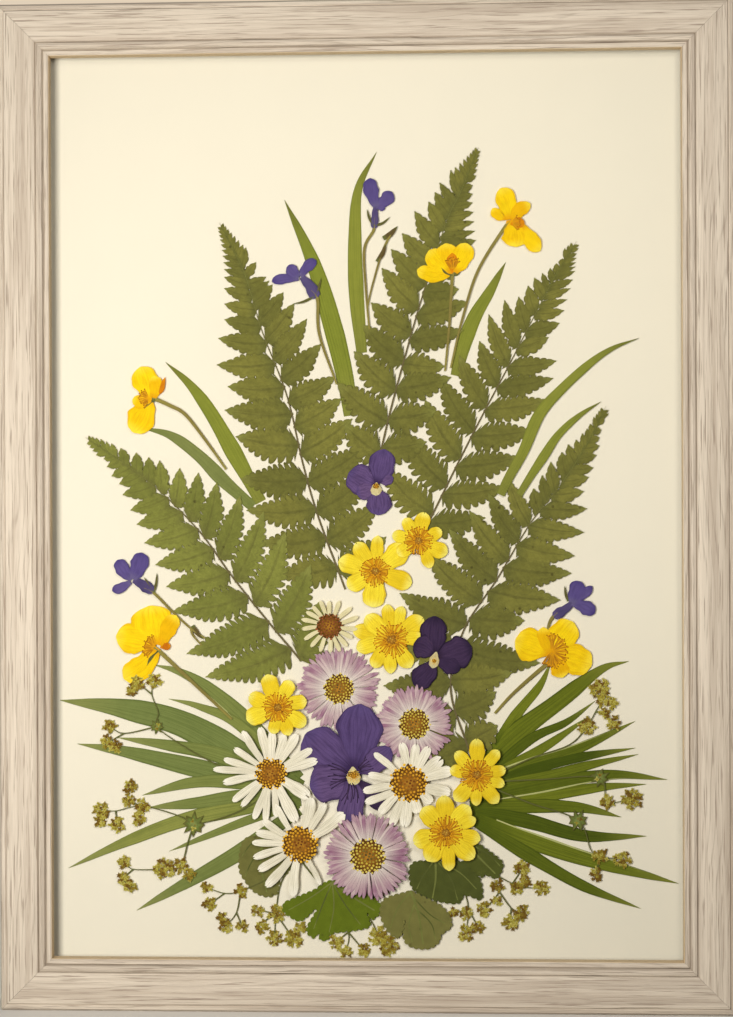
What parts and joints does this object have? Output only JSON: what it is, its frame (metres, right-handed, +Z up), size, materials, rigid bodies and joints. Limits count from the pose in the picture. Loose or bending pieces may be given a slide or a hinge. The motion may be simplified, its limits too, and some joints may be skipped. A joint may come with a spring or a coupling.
{
  "type": "pressed flower picture",
  "caption": "Framed picture of pressed flowers, ferns and grasses behind glass in a mitred lime-washed wooden moulding, with a sawtooth hanger on its back.",
  "frame": {"origin": "the point on the wall plane where a nail carries the middle notch of the sawtooth hanger", "axes": "+Z up, +Y into the wall, so the picture faces -Y, and +X to the right as it is looked at"},
  "size_m": [0.233, 0.02, 0.32],
  "materials": {
    "limed_wood": "pale lime-washed, satin",
    "glass": "clear float glass",
    "card": "ivory card",
    "fibreboard": "bare hardboard",
    "zinc_steel": "zinc plated",
    "fern": "dried leaf",
    "grass": "dried leaf",
    "buttercup": "dried petal",
    "lobelia": "dried petal",
    "viola": "dried petal",
    "celandine": "dried petal",
    "daisy": "dried petal",
    "aster": "dried petal",
    "leaf": "dried leaf",
    "mantle": "dried flower heads"
  },
  "bodies": {
    "root": {"rail_top": "limed_wood", "rail_bottom": "limed_wood", "rail_left": "limed_wood", "rail_right": "limed_wood", "glass": "glass", "mount_card": "card", "backboard": "fibreboard", "sawtooth_hanger": "zinc_steel", "tab_left_upper": "zinc_steel", "tab_left_lower": "zinc_steel", "tab_right_upper": "zinc_steel", "tab_right_lower": "zinc_steel", "fern_frond_left_low": "fern", "fern_frond_left_tall": "fern", "fern_frond_centre": "fern", "fern_frond_right_tall": "fern", "fern_frond_right_low": "fern", "grass_blade_a": "grass", "grass_blade_b": "grass", "grass_blade_c": "grass", "grass_blade_d": "grass", "grass_blade_e": "grass", "grass_blade_f": "grass", "grass_blade_g": "grass", "grass_tuft_left": "grass", "grass_tuft_right": "grass", "buttercup_left_high": "buttercup", "buttercup_right_high": "buttercup", "buttercup_centre": "buttercup", "buttercup_left_low": "buttercup", "buttercup_right_low": "buttercup", "lobelia_top": "lobelia", "lobelia_left_high": "lobelia", "lobelia_left_low": "lobelia", "lobelia_right": "lobelia", "viola_top": "viola", "viola_right": "viola", "viola_large": "viola", "celandine_1": "celandine", "celandine_2": "celandine", "celandine_3": "celandine", "celandine_4": "celandine", "celandine_5": "celandine", "celandine_6": "celandine", "daisy_1": "daisy", "daisy_2": "daisy", "daisy_3": "daisy", "daisy_4": "daisy", "aster_1": "aster", "aster_2": "aster", "aster_3": "aster", "leaf_1": "leaf", "leaf_2": "leaf", "leaf_3": "leaf", "leaf_4": "leaf", "leaf_5": "leaf", "mantle_spray_left": "mantle", "mantle_spray_bottom_left": "mantle", "mantle_spray_bottom_right": "mantle", "mantle_spray_right": "mantle"}
  },
  "joints": []
}
